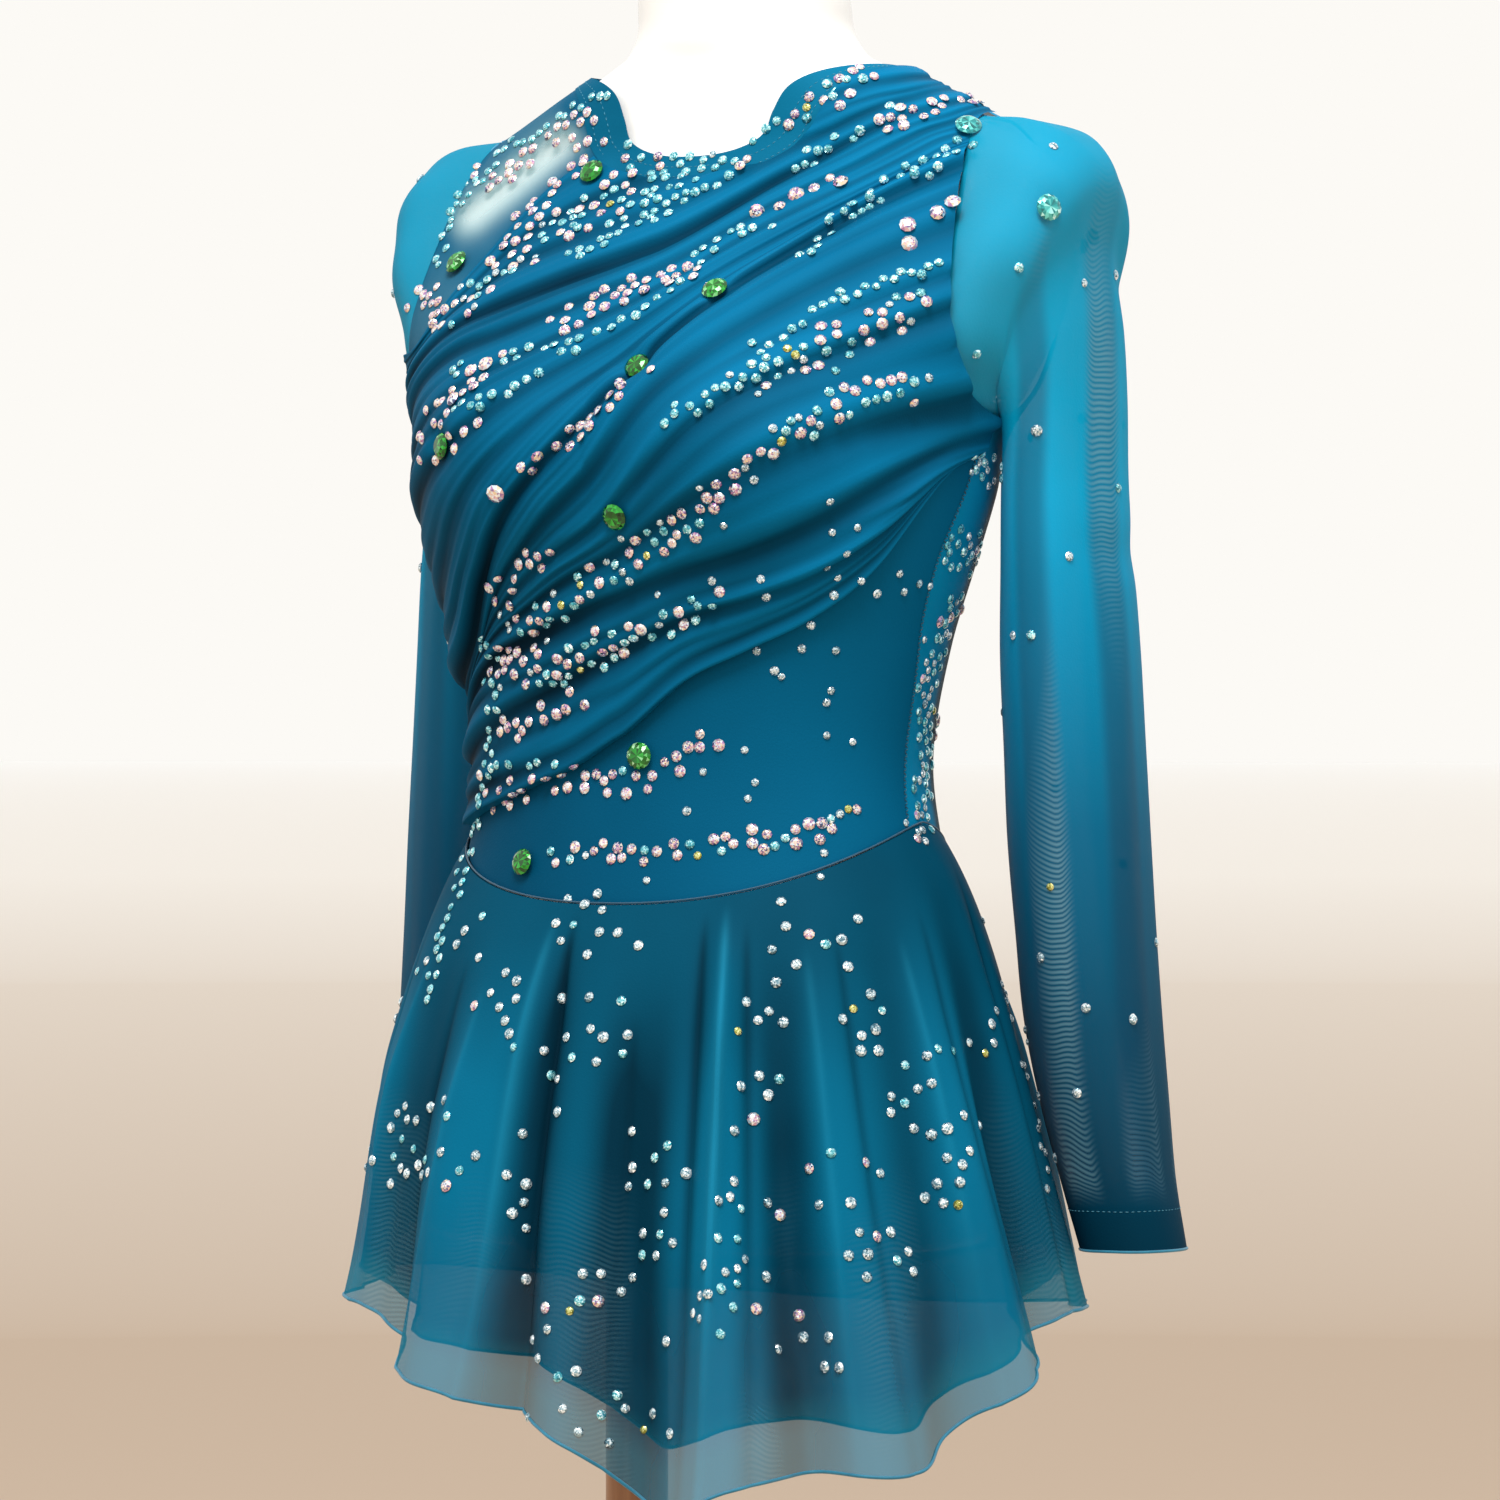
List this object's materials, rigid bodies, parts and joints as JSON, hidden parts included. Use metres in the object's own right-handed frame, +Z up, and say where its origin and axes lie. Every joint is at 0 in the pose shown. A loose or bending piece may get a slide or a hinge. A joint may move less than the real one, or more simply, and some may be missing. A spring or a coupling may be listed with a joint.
{
  "type": "figure skating dress on a limbless dress form",
  "caption": "Long-sleeved skating dress with a ruched diagonal front and a short two-layer fluted skirt, worn on a limbless dress form with a pole and round base.",
  "frame": {"origin": "on the floor under the middle of the torso, on the flat underside of the round base", "axes": "+Z up; the wearer faces -Y; +X is the wearer's left"},
  "size_m": [0.4688, 0.3598, 1.299],
  "materials": {
    "form_white": "glossy white",
    "pole_wood": "satin varnished",
    "base_metal": "satin white paint",
    "drape_mesh": "fine stretch mesh, ruched",
    "bodice_cloth": "mesh over a matt lining",
    "sheer_mesh": "single layer of sheer stretch mesh",
    "back_mesh": "stretch mesh over the form",
    "sleeve_mesh": "sheer stretch mesh shaded from cyan to teal",
    "skirt_mesh": "sheer stretch mesh with a rolled hem",
    "green_glass": "faceted, foiled",
    "aqua_glass": "faceted, foiled"
  },
  "bodies": {
    "root": {"dress_form": "form_white", "stand_pole": "pole_wood", "stand_base": "base_metal", "front_drape": "drape_mesh", "bodice_front": "bodice_cloth", "shoulder_yoke": "sheer_mesh", "bodice_back": "back_mesh", "neckband": "bodice_cloth", "sleeve_left": "sleeve_mesh", "sleeve_right": "sleeve_mesh", "skirt_outer": "skirt_mesh", "skirt_inner": "skirt_mesh", "briefs": "bodice_cloth", "stone_green_1": "green_glass", "stone_green_2": "green_glass", "stone_green_3": "green_glass", "stone_green_4": "green_glass", "stone_green_5": "green_glass", "stone_green_6": "green_glass", "stone_green_7": "green_glass", "stone_green_8": "green_glass", "stone_aqua_1": "aqua_glass", "stone_aqua_2": "aqua_glass"}
  },
  "joints": []
}
